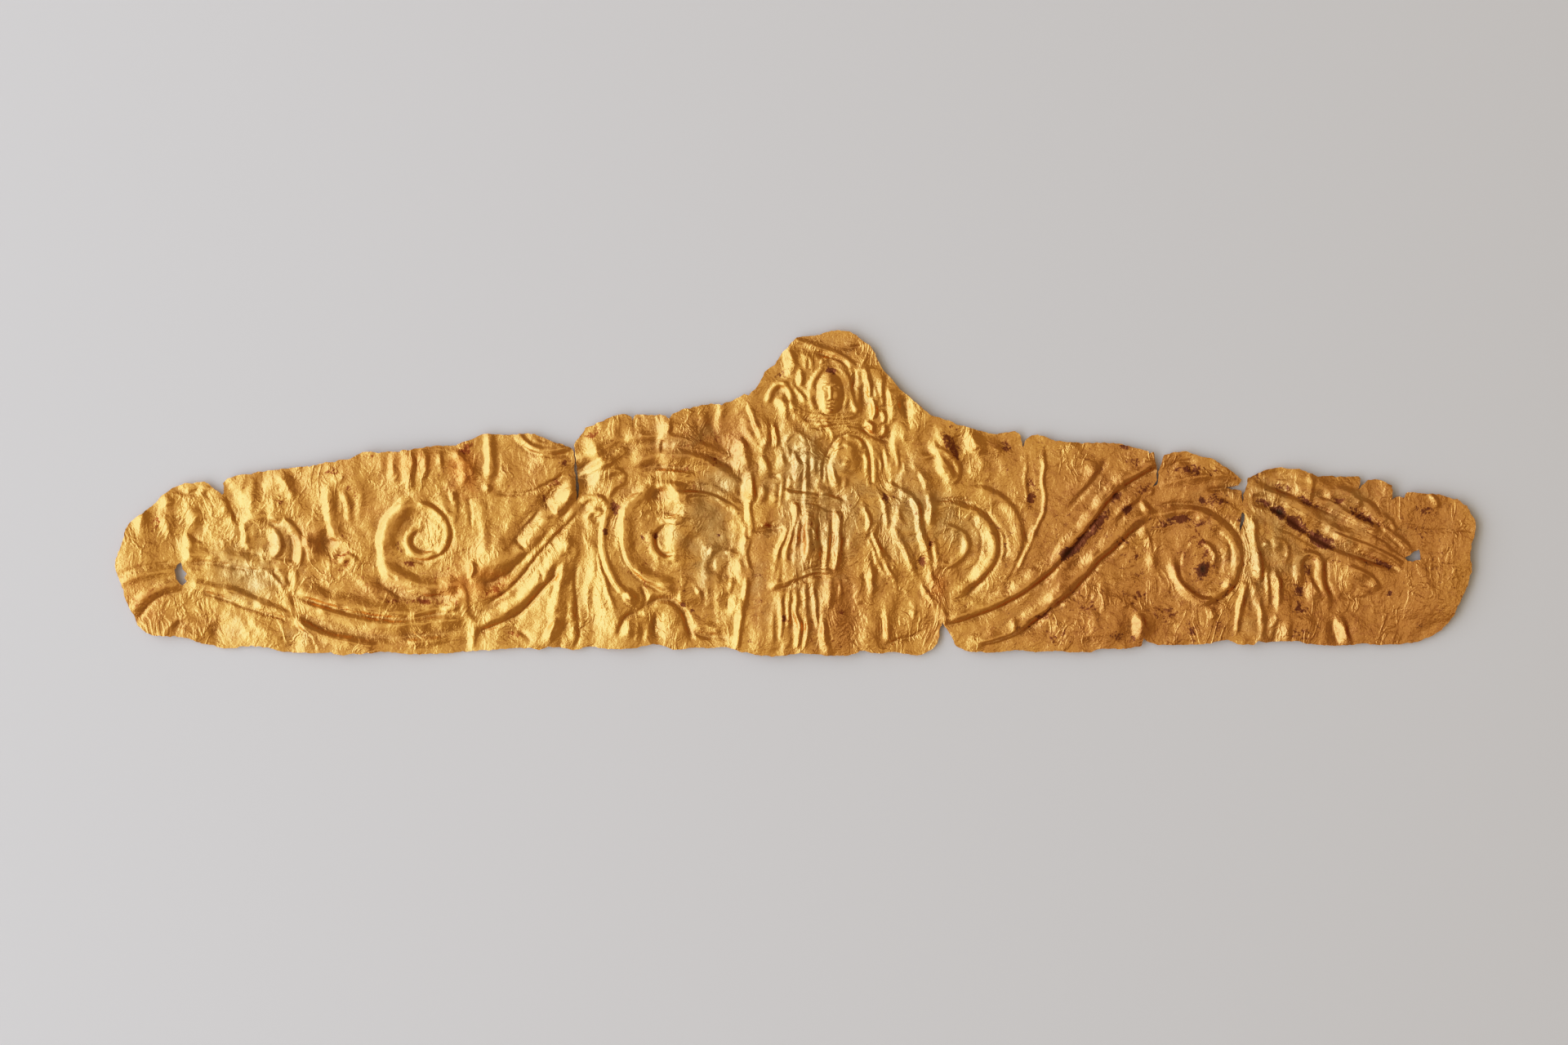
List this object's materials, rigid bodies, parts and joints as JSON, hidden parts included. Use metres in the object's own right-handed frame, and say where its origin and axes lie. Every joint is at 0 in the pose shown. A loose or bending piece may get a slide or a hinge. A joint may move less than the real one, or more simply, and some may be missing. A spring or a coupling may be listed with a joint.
{
  "type": "diadem",
  "caption": "Thin sheet gold diadem, pediment shaped with a rounded central peak, embossed with scrolls and a standing draped figure, torn edge, pierced ends.",
  "frame": {"origin": "under the middle of the part's box, on the surface that the sheet lies on", "axes": "+X along the band to the end that is on the right seen from the face, +Y towards the central peak, +Z out of the embossed face"},
  "size_m": [0.1994, 0.0478, 0.0024],
  "materials": {
    "gold": "thin beaten gold, soft metallic sheen, crumpled, purple-brown stains in the grooves"
  },
  "bodies": {
    "root": {"sheet": "gold"}
  },
  "joints": []
}
